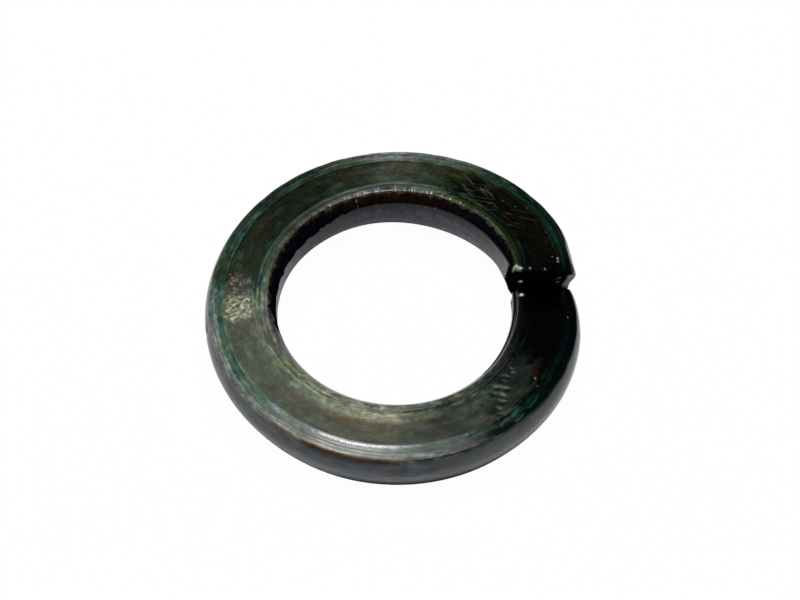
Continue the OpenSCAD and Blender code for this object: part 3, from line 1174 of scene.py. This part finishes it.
def hued(tree, skin, colour):
    """A colour drifting between brown and green, mottled, tinted and dulled along the turn. The
    tints also paint light and shade.
    """
    colour = tinted(tree, colour, (1.14, 0.99, 0.86), (0.88, 1.04, 1.00), skin.hues)
    mottled = ramp(
        tree, drawn_out(tree, skin.along, skin.across, 1.7, 0.55, 4.0, 31.0),
        [(0.37, (1.45, 1.05, 0.6)), (0.44, (1.2, 1.3, 0.55)), (0.50, (0.72, 0.72, 0.72)),
         (0.56, (0.45, 1.25, 1.0)), (0.62, (2.3, 2.5, 3.0))],
    )
    mottling = product(
        tree,
        by_turn(tree, skin, MOTTLING),
        between(tree, skin.section, skin.inner_end, skin.face_start + 0.02, 0.3, 1.0),
        between(tree, skin.on_shoulder, 0.4, 0.9, 1.0, 0.45),
    )
    mottling = blend(tree, skin.on_side, mottling, (0, 0, 0, 1))
    colour = blend(tree, mottling, colour, blend(tree, 1.0, colour, mottled, "MULTIPLY"))

    # Painted light and shade along the turn, with the tints' hue
    tint = blend(
        tree, between(tree, skin.section, skin.face_start - 0.004, skin.face_start + 0.012),
        ramp(tree, skin.turn, tint_stops(INNER_TINT_AND_SHADING)),
        ramp(tree, skin.turn, tint_stops(OUTER_TINT_AND_SHADING)),
    )
    past_bore = between(tree, skin.section, skin.inner_end - 0.006, skin.inner_end)
    tint = blend(tree, skin.on_side, blend(tree, past_bore, WHITE, tint), WHITE)
    colour = blend(tree, 1.0, colour, tint, "MULTIPLY")

    past_bore = between(tree, skin.section, skin.inner_end, skin.inner_end + 0.01)
    vividness = blend(tree, past_bore, WHITE, by_turn(tree, skin, VIVIDNESS))
    vivid = {"Saturation": vividness, "Color": colour}
    return node(tree, "ShaderNodeHueSaturation", vivid).outputs[0]


def worn_tone(tree, skin, line_strength):
    """How light the steel is against its colour: rolled lines and strokes times smears,
    blotches and grain, and lines and smears alone on the outer side."""
    tone = product(
        tree,
        maths(tree, "MULTIPLY_ADD", swing(tree, skin.lines, line_strength), 3.4, 1.0),
        maths(tree, "MULTIPLY_ADD", swing(tree, skin.strokes, line_strength), 2.4, 1.0),
        between(tree, skin.smears, 0.28, 0.72, 0.62, 1.42),
        between(tree, skin.blotches, 0.28, 0.72, 0.72, 1.30),
        between(tree, skin.grain, 0.28, 0.72, 0.93, 1.08),
    )
    side_tone = product(
        tree,
        between(tree, skin.lines, 0.3, 0.7, 0.84, 1.16),
        between(tree, skin.smears, 0.3, 0.7, 0.72, 1.32),
    )
    return blend(tree, skin.on_side, maths(tree, "MAXIMUM", tone, 0.1), side_tone)


def corroded(tree, skin, colour, grime_gone):
    """A colour under the crust in its pale halo, which is limier outwards and all lime on the
    inner shoulder, and under rust, which is pitted where it meets the crust."""
    crust = attribute(tree, "crust")
    halo = between(tree, crust, 0.0, 0.8, 0.0, 0.6)
    colour = blend(tree, halo, colour, (0.13, 0.15, 0.10, 1))
    sage = ramp(
        tree, noise(tree, skin.place, 2.2, 3.0, 0.66, 0.1),
        [(0.40, (0.034, 0.034, 0.018)), (0.46, (0.13, 0.145, 0.095)), (0.55, (0.25, 0.27, 0.20)),
         (0.68, (0.50, 0.52, 0.42))],
    )
    lime = blend(tree, 1.0, sage, (0.92, 0.95, 0.60, 1), "MULTIPLY")
    limy = between(tree, skin.section, skin.face_start, skin.face_end, 0.0, 0.55)
    limy = patchy(tree, limy, noise(tree, skin.place, 2.0, 2.0, 0.5), 2.6)
    inside = between(tree, skin.section, skin.inner_end, skin.face_start, 1.0, 0.0)
    flecked = blend(tree, maths(tree, "MAXIMUM", limy, inside), sage, lime)
    colour = blend(tree, patchy(tree, crust, skin.blotches, 2.2), colour, flecked)

    rust = patchy(tree, attribute(tree, "rust"), noise(tree, skin.place, 3.2, 3.0, 0.7), 2.4)
    pitted = ramp(
        tree, noise(tree, skin.place, 2.5, 2.5, 0.6),
        [(0.43, (0.016, 0.004, 0.006)), (0.53, (0.045, 0.026, 0.028)),
         (0.60, (0.14, 0.125, 0.12)), (0.68, (0.36, 0.33, 0.34))],
    )
    rust_colour = blend(tree, grime_gone, (0.014, 0.004, 0.002, 1), (0.052, 0.038, 0.018, 1))
    rust_colour = blend(tree, between(tree, crust, 0.05, 0.25), rust_colour, pitted)
    return blend(tree, product(tree, rust, 0.85), colour, rust_colour)


def scratched_bare_and_glints(tree, skin, colour, oil_gone):
    """A colour under fine scratches on the upper face, which run two ways, and under bare
    steel, whose brightest places are painted glints that shine white."""
    scratched = product(
        tree,
        maths(tree, "MAXIMUM", scratches(tree, skin.place, -56), scratches(tree, skin.place, -14)),
        by_turn(tree, skin, SCRATCHED),
        between(tree, skin.section, skin.face_start, skin.face_start + 0.01),
        between(tree, skin.section, skin.face_end - 0.01, skin.face_end, 1, 0),
    )
    colour = blend(tree, scratched, colour, (0.085, 0.095, 0.075, 1))
    bare_and_glints = attribute(tree, "bare_and_glints")
    # Painted glints: the part of the mark above 1 shines white
    painted_glint = maths(tree, "SUBTRACT", bare_and_glints, 1.0, clamp=True)
    bare_and_glints = patchy(tree, maths(tree, "MINIMUM", bare_and_glints, 1.0), skin.grain, 0.5)
    bare_and_glints = product(tree, bare_and_glints, between(tree, oil_gone, 0.0, 1.0, 0.6, 0.9))
    metal_or_glint = blend(tree, painted_glint, (0.27, 0.33, 0.44, 1), (1.0, 0.98, 1.0, 1))
    return blend(tree, maths(tree, "MAXIMUM", bare_and_glints, painted_glint), colour, metal_or_glint)


def blackened_steel(spans, grain):
    """Black oxide under oil. Four finishes lie round the section as ramps: oily, grimy,
    scuffed and rubbed. Ramps along the turn, broken into patches, say where each one shows.
    Over them come tone, the painted shade of the black band, corrosion, scratches, and bare steel
    with painted glints."""
    material, tree, shader = principled_material("blackened_steel", 0.22)
    skin = skin_patterns(tree, spans, grain)
    oil_gone, grime_gone = oil_and_grime_gone(tree, skin)
    line_strength = by_section(tree, skin, LINE_STRENGTH)
    colour = hued(tree, skin, layered_finish(tree, skin, oil_gone, grime_gone))
    colour = blend(tree, 1.0, colour, worn_tone(tree, skin, line_strength), "MULTIPLY")
    # Painted shade over the black band, broken up by the smears
    broken_up = between(tree, skin.smears, 0.3, 0.7, 0.8, 1.0)
    band_shaded = product(tree, attribute(tree, "band_shade"), broken_up)
    colour = blend(tree, band_shaded, colour, (0.002, 0.002, 0.003, 1))
    colour = corroded(tree, skin, colour, grime_gone)
    colour = scratched_bare_and_glints(tree, skin, colour, oil_gone)

    dry = product(tree, oil_gone, between(tree, grime_gone, 0.0, 0.8, 0.5, 1.0))
    dry_roughness = shifted(tree, by_section(tree, skin, DRY_ROUGHNESS), skin.blotches, 0.12)
    roughness = blend(tree, dry, (OILY_ROUGHNESS,) * 3 + (1,), dry_roughness)
    roughness = blend(tree, band_shaded, roughness, (BAND_SHADE_ROUGHNESS,) * 3 + (1,))
    raised_lines = product(tree, skin.lines, line_strength)
    height = maths(tree, "MULTIPLY_ADD", skin.grain, 0.06, raised_lines)
    set_shader(tree, shader, colour, roughness, height)
    return material


def matt_black_steel_and_shade(grain):
    """Sheared and torn steel, and the painted shade of the black band and the bore's dark lines:
    black with no gloss, and a few bright facets that are painted glints and a painted reflection.
    """
    material, tree, shader = principled_material("matt_black_steel_and_shade", 0.0)
    crystals = grained(tree, grain, 3.5, 3.0)
    black = ramp(tree, crystals, [(0.42, (0.0010, 0.0010, 0.0020)), (0.68, (0.004, 0.004, 0.010))])
    # Painted glints and the facet's painted reflection on the sheared faces
    glint_colour = ramp(
        tree, attribute(tree, "bare_and_glints"),
        [(0.0, (0, 0, 0)), (0.2, (0.05, 0.06, 0.10)), (0.45, (0.28, 0.29, 0.24)),
         (0.9, (0.80, 0.78, 0.92))],
    )
    colour = blend(tree, 1.0, black, glint_colour, "ADD")
    roughness = between(tree, crystals, 0.3, 0.7, 0.55, 0.75)
    set_shader(tree, shader, colour, roughness, crystals)
    return material


# ---------------------------------------------------------------- stage, lamps and camera

def sweep_paper():
    """White paper that glows to the camera, is plain lit paper in near reflections and dark in
    far ones, and is clear to a camera under it."""
    material = bpy.data.materials.new("white_sweep_paper")
    material.use_nodes = True
    tree = material.node_tree
    tree.nodes.clear()
    rays = node(tree, "ShaderNodeLightPath")
    place = node(tree, "ShaderNodeTexCoord").outputs["Object"]
    distance = node(tree, "ShaderNodeVectorMath", {0: place}, operation="LENGTH").outputs["Value"]
    far = between(tree, distance, 0.12, 0.30)
    glossy = rays.outputs["Is Glossy Ray"]
    mirrored = product(tree, glossy, maths(tree, "SUBTRACT", 0.1, far, clamp=True))
    seen = maths(tree, "MAXIMUM", rays.outputs["Is Camera Ray"], mirrored)
    seen = maths(tree, "MAXIMUM", seen, rays.outputs["Is Transmission Ray"])
    dimmed = product(tree, glossy, far)
    colour = blend(tree, dimmed, (0.9, 0.9, 0.9, 1), (0.1, 0.1, 0.1, 1))
    paper = node(tree, "ShaderNodeBsdfDiffuse", {"Color": colour}).outputs[0]
    glow = node(tree, "ShaderNodeEmission", {"Color": WHITE, "Strength": 1.0}).outputs[0]
    share = product(tree, seen, 0.975)
    above = node(tree, "ShaderNodeMixShader", {0: share, 1: paper, 2: glow}).outputs[0]
    behind = node(tree, "ShaderNodeNewGeometry").outputs["Backfacing"]
    under = product(tree, behind, rays.outputs["Is Camera Ray"])
    clear = node(tree, "ShaderNodeBsdfTransparent").outputs[0]
    surface = node(tree, "ShaderNodeMixShader", {0: under, 1: above, 2: clear}).outputs[0]
    node(tree, "ShaderNodeOutputMaterial", {"Surface": surface})
    return material


def white_sweep():
    """A round white sweep: a flat floor under the washer that rises into a low wall, as the
    smooth step of the distance from the axis."""
    flat_r, wall_r, wall_h = 300.0, 700.0, 330.0
    out = np.linspace(0, 1, 49)[:, None]
    turn = np.linspace(0, 2 * math.pi, 97)[None, :-1]
    distance = wall_r * out ** 1.3
    height = LOW[2] + wall_h * step_up(distance, flat_r, wall_r)
    points = np.stack([distance * np.cos(turn), distance * np.sin(turn), height + 0 * turn], -1)
    ids = np.arange(points[..., 0].size).reshape(points.shape[:2])
    sweep = new_object("sweep", points.reshape(-1, 3), [grid_faces(ids)], sweep_paper())
    merge_closing_points(sweep)
    return sweep


def soft_lamp(name, place, size, power):
    """A square area lamp at a place in mm, aimed at the washer's middle."""
    light = bpy.data.lights.new(name, "AREA")
    light.shape = "SQUARE"
    light.size = size * MM
    light.energy = power
    lamp = bpy.data.objects.new(name, light)
    lamp.location = Vector(place) * MM
    lamp.rotation_euler = lamp.location.to_track_quat("Z", "Y").to_euler()
    bpy.context.scene.collection.objects.link(lamp)
    return lamp


def studio_light():
    """A dim grey room, a broad soft lamp overhead and a small one, set a little behind it."""
    world = bpy.data.worlds.new("studio")
    world.use_nodes = True
    background = world.node_tree.nodes["Background"]
    background.inputs["Color"].default_value = WHITE
    background.inputs["Strength"].default_value = 0.04
    bpy.context.scene.world = world
    soft_lamp("overhead_softbox", (-10, 20, 400), 280, 1.16)
    soft_lamp("overhead_lamp", (-18, 64, 400), 50, 0.58)


# Camera: distance and height angle of the eye, and the aim's offset from the ring's middle
EYE_DISTANCE = 5.514 * OUTER_R
EYE_HEIGHT_ANGLE = 54.46
AIM_RIGHT = 0.649
AIM_UP = 0.652
LENS = 46.4
ROLL = 0.37


def camera():
    """The camera stands in front of the ring and above it, looks a little to the right of
    the ring's middle, and leans by a third of a degree."""
    height = math.radians(EYE_HEIGHT_ANGLE)
    back = Vector((0, -math.cos(height), math.sin(height)))
    right = Vector((1, 0, 0))
    up = Vector((0, math.sin(height), math.cos(height)))
    data = bpy.data.cameras.new("camera")
    data.sensor_width = 36
    data.lens = LENS
    data.clip_start = 0.005
    data.clip_end = 5
    eye = bpy.data.objects.new("camera", data)
    eye.location = back * EYE_DISTANCE * MM
    aim = (right * AIM_RIGHT + up * AIM_UP) * MM
    looking = (aim - eye.location).normalized()
    facing = looking.to_track_quat("-Z", "Y").to_matrix().to_4x4()
    facing = facing @ Matrix.Rotation(math.radians(ROLL), 4, "Z")
    eye.rotation_euler = facing.to_euler()
    bpy.context.scene.collection.objects.link(eye)
    bpy.context.scene.camera = eye
    return eye


# ---------------------------------------------------------------- building

def washer():
    """The washer, in place of the solid."""
    points, faces, marks, spans = washer_mesh()
    points = np.clip(points, LOW, HIGH)
    grain = steel_grain()
    finishes = blackened_steel(spans, grain), matt_black_steel_and_shade(grain)
    obj = new_object("steel_washer", points, faces, *finishes)
    add_marks(obj, faces, marks)
    merge_closing_points(obj)
    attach(obj, "root")
    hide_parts("washer")
    return obj


bpy.context.scene.view_settings.view_transform = "Standard"
camera()
studio_light()
white_sweep()
washer()
